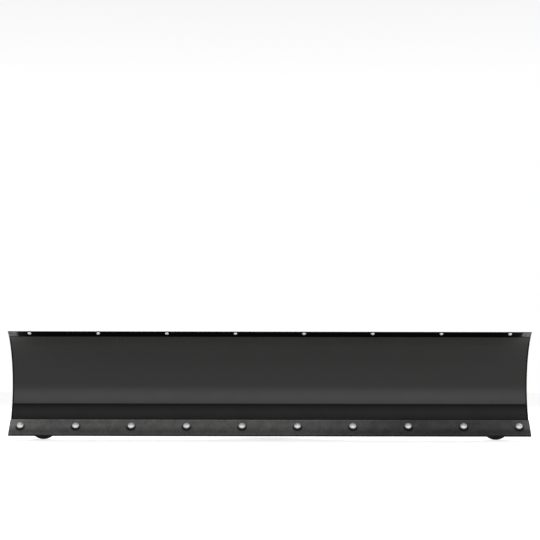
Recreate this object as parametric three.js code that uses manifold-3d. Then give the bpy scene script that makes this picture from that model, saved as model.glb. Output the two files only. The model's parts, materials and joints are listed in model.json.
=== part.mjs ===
// A straight snow plow blade for an ATV or a side-by-side, with the trip and swivel gear behind it.
// Millimetres, +Z up. The blade spans X and faces -Y. Left and right are the driver's, so left is +X.
// The pieces are drawn in the blade's own section frame: y runs back from the tip of the top lip,
// z runs up from the cutting edge. The last group moves that frame to the part's origin, which is
// the middle of the push head's rear face, where the push frame bolts on.
import * as THREE from 'three';
import { mergeVertices } from 'three/addons/utils/BufferGeometryUtils.js';
import Module from 'manifold-3d';

const wasm = await Module();
wasm.setup();

// ---------------------------------------------------------------- driving dimensions

const GAP = 0.3; // between pieces that touch or are welded
const RUN = 0.4; // radial clearance of a pin that turns or slides
const OVERRUN = 1; // how far a cutting or joining piece runs past the face it meets
const SIDES = 16; // facets round a pin or a hole

const BLADE_WIDTH = 1829;
const SHEET = 3;
const LIP_LENGTH = 28;
const LIP_LEAN = 55; // degrees from vertical, tip forward
const ARC_RADIUS = 225.5;
const ARC_HIGH = 49.2; // degrees above the arc's centre where the lip starts
const ARC_LOW = -17.5; // degrees below it where the lower flat starts
const ARC_STEPS = 16;
const FLAT_LENGTH = 61.5;
const FLAT_LEAN = 25;

const BAR_WIDTH = 73; // the bolt-on wear bar
const BAR_THICKNESS = 8;
const BAR_LEAN = 44; // degrees from vertical, top edge back
const BAR_FRONT_Y = 5.85; // the bar's lower front corner
const CREASE_ABOVE_BAR = 3; // from the bar's top edge to the moldboard's lower bend
const FLANGE_SHORT = 6; // the moldboard stops this far above the bar's lower edge

const WEAR_BOLTS = 10;
const WEAR_BOLT_INSET = 38.5; // from the blade's end to the first bolt
const WEAR_BOLT_UP = 42.5; // up the bar from its lower edge
const WEAR_BOLT_R = 6;
const WEAR_HEAD_R = 12.2;
const WEAR_HEAD_H = 10;
const WEAR_NUT = 10;
const WEAR_TAIL = 3; // thread past the nut
const LIP_BOLTS = 8;
const LIP_BOLT_INSET = 75;
const LIP_BOLT_FROM_TIP = 8.5;
const LIP_BOLT_R = 3;
const LIP_HEAD_R = 6.5;
const LIP_HEAD_H = 2.6;
const LIP_NUT = 3;
const LIP_TAIL = 0.8;
const NUT_SPREAD = 1.8; // a nut's corner radius over its thread's radius

const BACKING_STEEL = 5; // the two flat bars welded behind the wear bar
const BACKING_LEG = 38; // how far the rear bar stands back
const BACKING_LOW = 14; // up the flange, from the wear bar's lower edge
const BACKING_HIGH = 70;
const BACKING_INSET = 6; // shorter than the blade at each end

const RIB = 6;
const END_RIB_X = 898;
const MID_RIB_X = 523;
const RIB_TOP = [62, 340];
const RIB_LOW_Z = 62;
const RIB_FOOT_INSET = 6; // from each edge of the rear bar
const RIB_REAR = [[128, 84], [140, 120], [142, 215], [112, 290]]; // corners up the rear edge

const TRIP_Y = 140; // the trip hinge
const TRIP_Z = 95;
const TRIP_PIN_R = 8;
const TRIP_X = 196; // middle of each trip joint
const CHEEK = 12; // plate between the two trip ribs
const RIB_SPACE = 14; // clear space between the two trip ribs
const TRIP_BOSS_R = 28;
const TRIP_PAD_LOW = 2; // the stop pad's ends, above the hinge
const TRIP_PAD_HIGH = 27;
const TRIP_RIB_REAR = [[156, 133], [149, 160], [139, 225], [122, 266]]; // corners above the pad
const TRIP_PIN_TAIL = 12; // the pin past the inner rib, for its clip
const TRIP_PIN_HEAD_R = 12;
const TRIP_PIN_HEAD = 5;
const PIN_CHAMFER = 2;

const BEAM_Y = 175; // front face of the swivel beam
const BEAM_DEPTH = 40;
const BEAM_HEIGHT = 60;
const BEAM_WALL = 4;
const BEAM_HALF = 232;
const CHEEK_NOSE_R = 22;
const CHEEK_CHIN = 24; // below the hinge, where the nose meets the beam
const CHEEK_HEEL = 8; // above the hinge, down the beam's rear face
const CHEEK_HEEL_DEPTH = 10;
const CHEEK_HEEL_FLARE = 2; // the heel is wider by this at its top
const CHEEK_LOBE_R = 14; // round the spring's hole
const CHEEK_NECK = [[222, 144], [172, 144]]; // corners in front of the lobe

const SPRING_TOP_Y = 132; // the cross bolt that the trip spring hooks on
const SPRING_TOP_Z = 300;
const SPRING_LOW_Y = 250; // the spring's hole in the cheek
const SPRING_LOW_Z = 150;
const SPRING_WIRE_R = 2.75;
const SPRING_COIL_R = 16.25;
const SPRING_HOLE_R = 7;
const SPRING_BOLT_R = 6;
const SPRING_BOLT_HEX_R = 11;
const SPRING_BOLT_HEAD = 8;
const SPRING_BOLT_NUT = 10;
const SPRING_BOLT_TAIL = 3;
const SPRING_TURNS = 12;
const SPRING_HOOK = 27; // from the bolt's middle to the first turn
const SPRING_LOOP = 25; // from the last turn to the hole's middle
const SPRING_LOOP_R = 11.5;
const SPRING_LEAD = 5; // the bend between the coil and each straight end
const SPRING_EASE = 2; // how far those bends ease sideways
const LOOP_SLACK = 1; // the loop's far side stops this short of the hole's middle
const HOOK_SLACK = 1.4; // the hook hangs this far off its bolt

const KING_Y = 250;
const KING_R = 12.5;
const KING_HEX_R = 22;
const KING_HEAD = 14;
const KING_NUT = 18;
const KING_TAIL = 4;
const THRUST_WASHER_R = 28;
const SECTOR_R = 130;
const SECTOR = 10;
const LATCH_ARC_R = 110;
const LATCH_HOLES = [-25, -12.5, 0, 12.5, 25]; // degrees
const HEAD_PLATE = 8;
const HEAD_SPACE = 4; // between the sector plate and each head plate
const HEAD_NOSE_R = 30;
const HEAD_HALF = 100;
const HEAD_SHOULDER = 82; // from the king bolt back to where the head is full width
const FLANGE_THICKNESS = 12;
const FLANGE_WIDTH = 240;
const FLANGE_HEIGHT = 100;
const MOUNT_Y = 400; // the push head's rear face
const MOUNT_Z = 95;
const MOUNT_BOLT_R = 6.5;
const MOUNT_BOLT_X = 96;
const MOUNT_BOLT_Z = 34;

const LATCH_R = 8;
const LATCH_TIP = 2; // the parked pin's height above the sector plate
const HOUSING_R = 18;
const HOUSING_BORE_R = 13;
const HOUSING_HEIGHT = 62.7;
const HOUSING_CAP = 6;
const COLLAR_RUN = 1; // radial clearance of the pin's collar in the housing
const LATCH_SPRING_R = 10.4;
const LATCH_WIRE_R = 1.1;
const LATCH_SPRING_TURNS = 5;
const LATCH_COLLAR_UP = 16.7; // from the housing's foot to the pin's collar
const LATCH_COLLAR = 4;
const LATCH_STANDS_OUT = 30; // the pin above its housing
const LATCH_HANDLE_R = 5;
const LATCH_HANDLE_HALF = 40;
const LATCH_HANDLE_DOWN = 8; // from the pin's top

const SKID_X = 811;
const SKID_Y = 150;
const SKID_BELOW = 15; // under the cutting edge
const SKID_POST_R = 9.5;
const SLEEVE_R = 16;
const SLEEVE_LOW = 62;
const SLEEVE_HIGH = 140;
const SHOE_R = 46;
const SHOE_SPHERE_R = 52;
const SHOE_COLLAR_Z = 21.5;
const SHOE_COLLAR_R = 15;
const SHOE_COLLAR_FOOT_R = 18;
const SHOE_FLOOR = 12; // iron under the post's socket
const SHOE_EDGE = 3; // height of the rounded rim
const POST_TOP = 196;
const POST_CHAMFER = 3;
const KEEPER_Z = 175;
const KEEPER_R = 2.5;
const KEEPER_HALF = 17;
const KEEPER_HOLE_R = 3;
const SKID_WEB = 8; // the plate between the moldboard and the sleeve
const SKID_WEB_LOW = 70;
const SKID_WEB_HIGH = 132;
const SET_BOLT_Z = 100;
const SET_BOLT_R = 5;
const SET_HEX_R = 9.5;
const SET_BOLT_END = 38; // the head's outer face, back from the post's middle
const SET_HEAD = 7;
const SET_JAM_NUT = 6;

// ---------------------------------------------------------------- finishes

const FINISH = {
  black_powder_coat: { color: '#17181a', roughness: 0.28, metalness: 0 },
  worn_steel: { color: '#4b4a48', roughness: 0.6, metalness: 0.8 },
  zinc_plate: { color: '#b9bcbf', roughness: 0.35, metalness: 1 },
  spring_steel: { color: '#3a3b3d', roughness: 0.4, metalness: 0.9 },
  black_cast_iron: { color: '#1b1b1c', roughness: 0.6, metalness: 0.2 },
  bronze: { color: '#8c6b3e', roughness: 0.4, metalness: 1 },
};

// ---------------------------------------------------------------- solids

const sine = (degrees) => Math.sin(THREE.MathUtils.degToRad(degrees));
const cosine = (degrees) => Math.cos(THREE.MathUtils.degToRad(degrees));

// A closed geometry as a manifold solid, with shared corners merged and empty faces dropped.
function solidOf(geometry) {
  const bare = geometry.clone();
  bare.deleteAttribute('normal');
  bare.deleteAttribute('uv');
  const merged = mergeVertices(bare, 1e-4);
  const corners = merged.index.array;
  const kept = [];
  for (let i = 0; i < corners.length; i += 3) {
    const [a, b, c] = [corners[i], corners[i + 1], corners[i + 2]];
    if (a !== b && b !== c && c !== a) {
      kept.push(a, b, c);
    }
  }
  const mesh = new wasm.Mesh({
    numProp: 3,
    vertProperties: new Float32Array(merged.attributes.position.array),
    triVerts: new Uint32Array(kept),
  });
  return new wasm.Manifold(mesh);
}

function geometryOf(solid) {
  const mesh = solid.getMesh();
  const geometry = new THREE.BufferGeometry();
  geometry.setAttribute('position', new THREE.BufferAttribute(new Float32Array(mesh.vertProperties), 3));
  geometry.setIndex(new THREE.BufferAttribute(new Uint32Array(mesh.triVerts), 1));
  geometry.computeVertexNormals();
  return geometry;
}

function join(...geometries) {
  return geometryOf(geometries.map(solidOf).reduce((whole, piece) => whole.add(piece)));
}

function cut(geometry, ...tools) {
  return geometryOf(tools.map(solidOf).reduce((rest, tool) => rest.subtract(tool), solidOf(geometry)));
}

// A circle as a list of corners, for a hole or a round end.
function circle(u, v, radius, from = 0, to = 360, steps = SIDES) {
  const whole = to - from === 360;
  const count = whole ? steps : steps + 1;
  return Array.from({ length: count }, (_, i) => {
    const angle = from + ((to - from) * i) / steps;
    return [u + radius * cosine(angle), v + radius * sine(angle)];
  });
}

// Where an outline's two directions and its thickness point, for a plate square to each axis.
const PLANES = {
  x: new THREE.Matrix4().makeBasis(
    new THREE.Vector3(0, 1, 0), new THREE.Vector3(0, 0, 1), new THREE.Vector3(1, 0, 0)),
  y: new THREE.Matrix4().makeBasis(
    new THREE.Vector3(0, 0, 1), new THREE.Vector3(1, 0, 0), new THREE.Vector3(0, 1, 0)),
  z: new THREE.Matrix4(),
};

// A plate from low to high along an axis. The outline is in (y, z), (z, x) or (x, y).
function plate(axis, outline, low, high, holes = []) {
  const points = (list) => list.map(([u, v]) => new THREE.Vector2(u, v));
  const shape = new THREE.Shape(points(outline));
  shape.holes = holes.map((hole) => new THREE.Path(points(hole)));
  const geometry = new THREE.ExtrudeGeometry(shape, { depth: high - low, bevelEnabled: false });
  geometry.translate(0, 0, low);
  geometry.applyMatrix4(PLANES[axis]);
  return geometry;
}

// A turned piece. The profile is [radius, distance along the axis], listed from its far end back.
function turned(profile, axis, place, sides = SIDES) {
  const geometry = new THREE.LatheGeometry(profile.map(([r, h]) => new THREE.Vector2(r, h)), sides);
  const turn = new THREE.Quaternion().setFromUnitVectors(new THREE.Vector3(0, 1, 0), axis);
  geometry.applyQuaternion(turn);
  geometry.translate(place.x, place.y, place.z);
  return geometry;
}

function rod(radius, from, to, axis, place, sides = SIDES) {
  return turned([[0, from], [radius, from], [radius, to], [0, to]], axis, place, sides);
}

const ALONG_X = new THREE.Vector3(1, 0, 0);
const ALONG_Y = new THREE.Vector3(0, 1, 0);
const ALONG_Z = new THREE.Vector3(0, 0, 1);
const at = (x, y, z) => new THREE.Vector3(x, y, z);

const whole = new THREE.Group();

function add(name, geometry, finish) {
  const mesh = new THREE.Mesh(geometry, new THREE.MeshStandardMaterial(FINISH[finish]));
  mesh.name = name;
  whole.add(mesh);
}

// Calls make(side name, sign of X) for the left and the right of the blade.
function bothSides(make) {
  make('left', 1);
  make('right', -1);
}

// Low and high X of a plate of this thickness about x, on either side of the blade.
function span(x, thickness, sign) {
  const middle = x * sign;
  return [middle - thickness / 2, middle + thickness / 2];
}

// ---------------------------------------------------------------- the moldboard's section

// The wear bar's own frame: s runs up its face from its lower front corner, d runs back through it.
const BAR_FRONT_Z = BAR_THICKNESS * sine(BAR_LEAN);

function onBar(s, d) {
  const y = BAR_FRONT_Y + s * sine(BAR_LEAN) + d * cosine(BAR_LEAN);
  const z = BAR_FRONT_Z + s * cosine(BAR_LEAN) - d * sine(BAR_LEAN);
  return [y, z];
}

const FLANGE_FACE = BAR_THICKNESS + GAP;
const CREASE = onBar(BAR_WIDTH + CREASE_ABOVE_BAR, FLANGE_FACE);
const FLAT_TOP = [
  CREASE[0] + FLAT_LENGTH * sine(FLAT_LEAN),
  CREASE[1] + FLAT_LENGTH * cosine(FLAT_LEAN),
];
const ARC_CENTRE = [
  FLAT_TOP[0] - ARC_RADIUS * cosine(ARC_LOW),
  FLAT_TOP[1] - ARC_RADIUS * sine(ARC_LOW),
];
const ARC = circle(...ARC_CENTRE, ARC_RADIUS, ARC_HIGH, ARC_LOW, ARC_STEPS);
const LIP_TIP = [
  ARC[0][0] - LIP_LENGTH * sine(LIP_LEAN),
  ARC[0][1] + LIP_LENGTH * cosine(LIP_LEAN),
];

// The face of the sheet from the lip's tip down to the flange's end.
const FACE = [LIP_TIP, ...ARC, CREASE, onBar(FLANGE_SHORT, FLANGE_FACE)];

// A line moved back by a distance, with its corners mitred.
function movedBack(line, distance) {
  const backward = (a, b) => {
    const long = Math.hypot(b[0] - a[0], b[1] - a[1]);
    return [(a[1] - b[1]) / long, (b[0] - a[0]) / long];
  };
  return line.map(([y, z], i) => {
    const before = i > 0 ? backward(line[i - 1], line[i]) : backward(line[i], line[i + 1]);
    const after = i < line.length - 1 ? backward(line[i], line[i + 1]) : before;
    const reach = distance / (1 + before[0] * after[0] + before[1] * after[1]);
    return [y + reach * (before[0] + after[0]), z + reach * (before[1] + after[1])];
  });
}

const BACK = movedBack(FACE, SHEET);

// Where the ribs and brackets meet the sheet: the arc's corners, then the crease.
const WELD = movedBack(FACE, SHEET + GAP).slice(1, -1);

// The weld line between two heights, listed downwards.
function weldLine(high, low) {
  const heightAt = (z) => {
    const i = WELD.findIndex((point, k) => k > 0 && point[1] <= z);
    const [above, below] = [WELD[i - 1], WELD[i]];
    const share = (above[1] - z) / (above[1] - below[1]);
    return [above[0] + share * (below[0] - above[0]), z];
  };
  return [heightAt(high), ...WELD.filter(([, z]) => z < high && z > low), heightAt(low)];
}

// ---------------------------------------------------------------- bolts

const BAR_FRONTWARD = new THREE.Vector3(0, -cosine(BAR_LEAN), sine(BAR_LEAN));
const LIP_FRONTWARD = new THREE.Vector3(0, -cosine(LIP_LEAN), -sine(LIP_LEAN));

// Evenly spaced places along the blade.
function spread(count, inset) {
  const run = BLADE_WIDTH - 2 * inset;
  return Array.from({ length: count }, (_, i) => -run / 2 + (run * i) / (count - 1));
}

// A round-headed bolt with its nut. Its axis points out of the head, from the bearing face.
function bolt({ radius, headR, headH, grip, nutH, tail, axis, place }) {
  const dome = Array.from({ length: 3 }, (_, i) => [headR * cosine(45 * i), headH * sine(45 * i)]);
  const end = -grip - nutH - tail;
  const shank = turned([[0, end], [radius, end], [radius, 0], ...dome], axis, place, 12);
  const nut = turned(
    [[0, -grip - nutH], [radius * NUT_SPREAD, -grip - nutH], [radius * NUT_SPREAD, -grip], [0, -grip]],
    axis, place, 6);
  return join(shank, nut);
}

const WEAR_STACK = FLANGE_FACE + SHEET + GAP + BACKING_STEEL;
const WEAR_BOLT_X = spread(WEAR_BOLTS, WEAR_BOLT_INSET);
const LIP_BOLT_X = spread(LIP_BOLTS, LIP_BOLT_INSET);
const LIP_BOLT_AT = [
  LIP_TIP[0] + LIP_BOLT_FROM_TIP * sine(LIP_LEAN),
  LIP_TIP[1] - LIP_BOLT_FROM_TIP * cosine(LIP_LEAN),
];

const wearBoltHoles = () => WEAR_BOLT_X.map((x) => {
  const place = at(x, ...onBar(WEAR_BOLT_UP, 0));
  return rod(WEAR_BOLT_R + RUN, -WEAR_STACK * 2, WEAR_STACK, BAR_FRONTWARD, place, 12);
});

const lipBoltHoles = () => LIP_BOLT_X.map((x) => (
  rod(LIP_BOLT_R + RUN, -SHEET * 3, SHEET * 3, LIP_FRONTWARD, at(x, ...LIP_BOLT_AT), 12)));

function addBolts() {
  WEAR_BOLT_X.forEach((x, i) => {
    const [y, z] = onBar(WEAR_BOLT_UP, -GAP);
    add(`wear_bolt_${String(i + 1).padStart(2, '0')}`, bolt({
      radius: WEAR_BOLT_R, headR: WEAR_HEAD_R, headH: WEAR_HEAD_H,
      grip: WEAR_STACK + 2 * GAP, nutH: WEAR_NUT, tail: WEAR_TAIL,
      axis: BAR_FRONTWARD, place: at(x, y, z),
    }), 'zinc_plate');
  });
  LIP_BOLT_X.forEach((x, i) => {
    const place = at(x, ...LIP_BOLT_AT).addScaledVector(LIP_FRONTWARD, GAP);
    add(`lip_bolt_${i + 1}`, bolt({
      radius: LIP_BOLT_R, headR: LIP_HEAD_R, headH: LIP_HEAD_H,
      grip: SHEET + 2 * GAP, nutH: LIP_NUT, tail: LIP_TAIL,
      axis: LIP_FRONTWARD, place,
    }), 'zinc_plate');
  });
}

// ---------------------------------------------------------------- the blade

const ENDS = [-BLADE_WIDTH / 2, BLADE_WIDTH / 2];

function addMoldboard() {
  const sheet = plate('x', [...FACE, ...BACK.toReversed()], ...ENDS);
  add('moldboard', cut(sheet, ...wearBoltHoles(), ...lipBoltHoles()), 'black_powder_coat');
}

function addWearBar() {
  const section = [
    onBar(0, 0), onBar(BAR_WIDTH, 0), onBar(BAR_WIDTH, BAR_THICKNESS), onBar(0, BAR_THICKNESS),
  ];
  add('wear_bar', cut(plate('x', section, ...ENDS), ...wearBoltHoles()), 'worn_steel');
}

const BACKING_FACE = FLANGE_FACE + SHEET + GAP;
const BACKING_REAR = BACKING_FACE + BACKING_LEG;

// A flat bar along the blade, between two heights and two depths in the wear bar's frame.
function flatBar(low, high, front, rear) {
  const section = [onBar(low, front), onBar(high, front), onBar(high, rear), onBar(low, rear)];
  return plate('x', section, ENDS[0] + BACKING_INSET, ENDS[1] - BACKING_INSET);
}

// Two flat bars welded into an angle: one lies behind the flange, the other stands back from it.
function addBackingBars() {
  const inner = BACKING_FACE + BACKING_STEEL;
  const flange = flatBar(BACKING_LOW, BACKING_HIGH, BACKING_FACE, inner);
  const rear = flatBar(BACKING_HIGH - BACKING_STEEL, BACKING_HIGH, inner + GAP, BACKING_REAR);
  add('backing_bar', cut(flange, ...wearBoltHoles()), 'black_powder_coat');
  add('backing_rear_bar', rear, 'black_powder_coat');
}

// The lower end of every rib, which stands on the rear bar.
const RIB_FOOT = [
  onBar(BACKING_HIGH + GAP, BACKING_FACE + RIB_FOOT_INSET),
  onBar(BACKING_HIGH + GAP, BACKING_REAR - RIB_FOOT_INSET),
];

// The edge that every rib has along the moldboard and round its foot.
const RIB_FRONT = [...weldLine(RIB_TOP[1], RIB_LOW_Z), ...RIB_FOOT];

function addPlainRibs() {
  const outline = [...RIB_FRONT, ...RIB_REAR, RIB_TOP];
  bothSides((side, sign) => {
    add(`end_rib_${side}`, plate('x', outline, ...span(END_RIB_X, RIB, sign)), 'black_powder_coat');
    add(`mid_rib_${side}`, plate('x', outline, ...span(MID_RIB_X, RIB, sign)), 'black_powder_coat');
  });
}

// Each trip joint has two ribs. Below the hinge they are round, so they clear the swivel beam as
// the blade trips. Above it, a pad rests on the beam's front face and stops the blade upright.
function addTripRibs() {
  const pad = BEAM_Y - GAP;
  const outline = [
    ...RIB_FRONT,
    ...circle(TRIP_Y, TRIP_Z, TRIP_BOSS_R, -100, 0, 6),
    [pad, TRIP_Z + TRIP_PAD_LOW], [pad, TRIP_Z + TRIP_PAD_HIGH], ...TRIP_RIB_REAR,
    ...circle(SPRING_TOP_Y, SPRING_TOP_Z, TRIP_BOSS_R / 2, -20, 100, 5),
    RIB_TOP,
  ];
  const holes = [
    circle(TRIP_Y, TRIP_Z, TRIP_PIN_R + RUN),
    circle(SPRING_TOP_Y, SPRING_TOP_Z, SPRING_BOLT_R + RUN),
  ];
  const off = (RIB_SPACE + RIB) / 2;
  bothSides((side, sign) => {
    const inner = span(TRIP_X - off, RIB, sign);
    const outer = span(TRIP_X + off, RIB, sign);
    add(`trip_rib_inner_${side}`, plate('x', outline, ...inner, holes), 'black_powder_coat');
    add(`trip_rib_outer_${side}`, plate('x', outline, ...outer, holes), 'black_powder_coat');
  });
}

const TRIP_HALF = RIB_SPACE / 2 + RIB + GAP; // from the middle of a trip joint to its outer faces

function addTripPins() {
  bothSides((side, sign) => {
    const outward = ALONG_X.clone().multiplyScalar(sign);
    const place = at(TRIP_X * sign, TRIP_Y, TRIP_Z);
    const tail = -TRIP_HALF - TRIP_PIN_TAIL;
    const end = TRIP_HALF + TRIP_PIN_HEAD;
    const pin = turned([
      [0, tail], [TRIP_PIN_R - PIN_CHAMFER, tail], [TRIP_PIN_R, tail + PIN_CHAMFER],
      [TRIP_PIN_R, TRIP_HALF], [TRIP_PIN_HEAD_R, TRIP_HALF], [TRIP_PIN_HEAD_R, end], [0, end],
    ], outward, place);
    add(`trip_pin_${side}`, pin, 'zinc_plate');
  });
}

function addSpringBolts() {
  bothSides((side, sign) => {
    const outward = ALONG_X.clone().multiplyScalar(sign);
    const place = at(TRIP_X * sign, SPRING_TOP_Y, SPRING_TOP_Z);
    const nutEnd = -TRIP_HALF - SPRING_BOLT_NUT;
    const shank = rod(SPRING_BOLT_R, nutEnd - SPRING_BOLT_TAIL, TRIP_HALF + GAP, outward, place);
    const head = rod(SPRING_BOLT_HEX_R, TRIP_HALF, TRIP_HALF + SPRING_BOLT_HEAD, outward, place, 6);
    const nut = rod(SPRING_BOLT_HEX_R, nutEnd, -TRIP_HALF, outward, place, 6);
    add(`spring_bolt_${side}`, join(shank, head, nut), 'zinc_plate');
  });
}

// ---------------------------------------------------------------- the skids

function addSkidBrackets() {
  const inSleeve = SKID_Y - (SLEEVE_R + SKID_POST_R) / 2;
  const web = [...weldLine(SKID_WEB_HIGH, SKID_WEB_LOW), [inSleeve, SKID_WEB_LOW], [inSleeve, SKID_WEB_HIGH]];
  bothSides((side, sign) => {
    const post = at(SKID_X * sign, SKID_Y, 0);
    const sleeve = rod(SLEEVE_R, SLEEVE_LOW, SLEEVE_HIGH, ALONG_Z, post);
    const bore = rod(SKID_POST_R + RUN, SLEEVE_LOW - OVERRUN, SLEEVE_HIGH + OVERRUN, ALONG_Z, post);
    const tapped = rod(SET_BOLT_R + GAP, 0, 2 * SLEEVE_R, ALONG_Y, at(post.x, SKID_Y, SET_BOLT_Z), 12);
    const bracket = join(plate('x', web, ...span(SKID_X, SKID_WEB, sign)), sleeve);
    add(`skid_bracket_${side}`, cut(bracket, bore, tapped), 'black_powder_coat');
  });
}

function addSetBolts() {
  bothSides((side, sign) => {
    const place = at(SKID_X * sign, SKID_Y, SET_BOLT_Z);
    const shank = rod(SET_BOLT_R, SKID_POST_R + GAP, SET_BOLT_END, ALONG_Y, place, 12);
    const jamNut = rod(SET_HEX_R, SLEEVE_R + GAP, SLEEVE_R + SET_JAM_NUT, ALONG_Y, place, 6);
    const head = rod(SET_HEX_R, SET_BOLT_END - SET_HEAD, SET_BOLT_END, ALONG_Y, place, 6);
    add(`skid_set_bolt_${side}`, join(shank, jamNut, head), 'zinc_plate');
  });
}

function addSkids() {
  const bottom = -SKID_BELOW;
  const socket = bottom + SHOE_FLOOR;
  const bowl = Array.from({ length: 7 }, (_, i) => {
    const angle = (Math.asin(SHOE_R / SHOE_SPHERE_R) * i) / 6;
    return [SHOE_SPHERE_R * Math.sin(angle), bottom + SHOE_SPHERE_R * (1 - Math.cos(angle))];
  });
  const rim = bowl.at(-1)[1];
  const bore = SKID_POST_R + GAP;
  bothSides((side, sign) => {
    const place = at(SKID_X * sign, SKID_Y, 0);
    const shoe = turned([
      ...bowl, [SHOE_R - PIN_CHAMFER, rim + SHOE_EDGE],
      [SHOE_COLLAR_FOOT_R, rim + SHOE_EDGE + PIN_CHAMFER], [SHOE_COLLAR_R, SHOE_COLLAR_Z],
      [bore, SHOE_COLLAR_Z], [bore, socket], [0, socket],
    ], ALONG_Z, place, 24);
    const post = turned([
      [0, socket + GAP], [SKID_POST_R, socket + GAP], [SKID_POST_R, POST_TOP - POST_CHAMFER],
      [SKID_POST_R - POST_CHAMFER, POST_TOP], [0, POST_TOP],
    ], ALONG_Z, place);
    const pinPlace = at(place.x, SKID_Y, KEEPER_Z);
    const hole = rod(KEEPER_HOLE_R, -SLEEVE_R, SLEEVE_R, ALONG_X, pinPlace, 12);
    const keeper = rod(KEEPER_R, -KEEPER_HALF, KEEPER_HALF, ALONG_X, pinPlace, 8);
    add(`skid_shoe_${side}`, shoe, 'black_cast_iron');
    add(`skid_post_${side}`, cut(post, hole), 'zinc_plate');
    add(`skid_keeper_${side}`, keeper, 'spring_steel');
  });
}

// ---------------------------------------------------------------- the swivel

function addSwivelBeam() {
  const ring = (inset) => {
    const [y0, y1] = [BEAM_Y + inset, BEAM_Y + BEAM_DEPTH - inset];
    const half = BEAM_HEIGHT / 2 - inset;
    return [[y0, TRIP_Z - half], [y1, TRIP_Z - half], [y1, TRIP_Z + half], [y0, TRIP_Z + half]];
  };
  add('swivel_beam', plate('x', ring(0), -BEAM_HALF, BEAM_HALF, [ring(BEAM_WALL)]), 'black_powder_coat');
}

// A cheek saddles the beam. Its nose takes the trip pin and its rear lobe takes the spring.
function addCheeks() {
  const front = BEAM_Y - GAP;
  const rear = BEAM_Y + BEAM_DEPTH + GAP;
  const top = TRIP_Z + BEAM_HEIGHT / 2 + GAP;
  const heelRear = rear + CHEEK_HEEL_DEPTH;
  const outline = [
    ...circle(TRIP_Y, TRIP_Z, CHEEK_NOSE_R, 110, 290, 9),
    [front, TRIP_Z - CHEEK_CHIN], [front, top],
    [rear, top], [rear, TRIP_Z + CHEEK_HEEL], [heelRear, TRIP_Z + CHEEK_HEEL],
    [heelRear + CHEEK_HEEL_FLARE, top],
    ...circle(SPRING_LOW_Y, SPRING_LOW_Z, CHEEK_LOBE_R, -60, 150, 7),
    ...CHEEK_NECK,
  ];
  const holes = [
    circle(TRIP_Y, TRIP_Z, TRIP_PIN_R + RUN),
    circle(SPRING_LOW_Y, SPRING_LOW_Z, SPRING_HOLE_R),
  ];
  bothSides((side, sign) => {
    add(`cheek_${side}`, plate('x', outline, ...span(TRIP_X, CHEEK, sign), holes), 'black_powder_coat');
  });
}

// The half-moon plate behind the beam turns on the king bolt. The latch pin drops into its holes.
function addSectorPlate() {
  const front = BEAM_Y + BEAM_DEPTH + GAP;
  const turn = THREE.MathUtils.radToDeg(Math.asin((KING_Y - front) / SECTOR_R));
  const outline = circle(0, KING_Y, SECTOR_R, -turn, 180 + turn, 24);
  const latchHole = (angle) => (
    circle(LATCH_ARC_R * sine(angle), KING_Y + LATCH_ARC_R * cosine(angle), LATCH_R + 2 * RUN));
  const holes = [circle(0, KING_Y, KING_R + 2 * RUN), ...LATCH_HOLES.map(latchHole)];
  const low = MOUNT_Z - SECTOR / 2;
  add('sector_plate', plate('z', outline, low, low + SECTOR, holes), 'black_powder_coat');
}

// A smooth line that is cut into steps at its own points, so close points make a fine bend.
class WireLine extends THREE.CatmullRomCurve3 {
  getPointAt(share, target) {
    return this.getPoint(share, target);
  }

  getTangentAt(share, target) {
    return this.getTangent(share, target);
  }
}

// A round wire along a smooth line through these points.
function wire(points, radius, sides = 6) {
  const path = new WireLine(points, false, 'centripetal');
  const steps = points.length - 1;
  const corners = circle(0, 0, radius, 0, 360, sides).map(([u, v]) => new THREE.Vector2(u, v));
  const section = new THREE.Shape(corners);
  return new THREE.ExtrudeGeometry(section, { steps, extrudePath: path, bevelEnabled: false });
}

// Angles from one to the other, both included.
function angles(from, to, step) {
  return Array.from({ length: Math.round((to - from) / step) + 1 }, (_, i) => from + step * i);
}

// One wire: a hook round the upper bolt, the coil, and a loop through the cheek's hole. Its own
// frame runs along the spring, then sideways in the plane of the cheek, then across along X.
function springPath(sign) {
  const top = at(TRIP_X * sign, SPRING_TOP_Y, SPRING_TOP_Z);
  const low = at(TRIP_X * sign, SPRING_LOW_Y, SPRING_LOW_Z);
  const length = top.distanceTo(low);
  const down = low.clone().sub(top).normalize();
  const side = new THREE.Vector3().crossVectors(down, ALONG_X);
  const point = (along, inPlane, across) => (
    top.clone().addScaledVector(down, along).addScaledVector(side, inPlane).addScaledVector(ALONG_X, across));
  const hookR = SPRING_BOLT_R + SPRING_WIRE_R + HOOK_SLACK;
  const hook = angles(-130, 90, 27.5).map((a) => point(-hookR * cosine(a), hookR * sine(a), 0));
  const coilStart = SPRING_HOOK;
  const coilEnd = length - SPRING_LOOP;
  const turns = angles(110, 160 + 360 * SPRING_TURNS, 41);
  const coil = turns.map((a, i) => {
    const along = coilStart + ((coilEnd - coilStart) * i) / (turns.length - 1);
    return point(along, SPRING_COIL_R * sine(a), SPRING_COIL_R * cosine(a));
  });
  const loopMiddle = length - LOOP_SLACK - SPRING_LOOP_R;
  const loop = angles(-90, 120, 30).map((a) => (
    point(loopMiddle + SPRING_LOOP_R * cosine(a), 0, SPRING_LOOP_R * sine(a))));
  return [
    ...hook, point(coilStart / 2, hookR + SPRING_EASE, 0),
    point(coilStart - SPRING_LEAD, SPRING_COIL_R - SPRING_EASE, 0),
    ...coil, point(coilEnd + SPRING_LEAD, 0, SPRING_EASE - SPRING_COIL_R), ...loop,
  ];
}

function addTripSprings() {
  bothSides((side, sign) => {
    add(`trip_spring_${side}`, wire(springPath(sign), SPRING_WIRE_R), 'spring_steel');
  });
}

// ---------------------------------------------------------------- the push head

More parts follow.
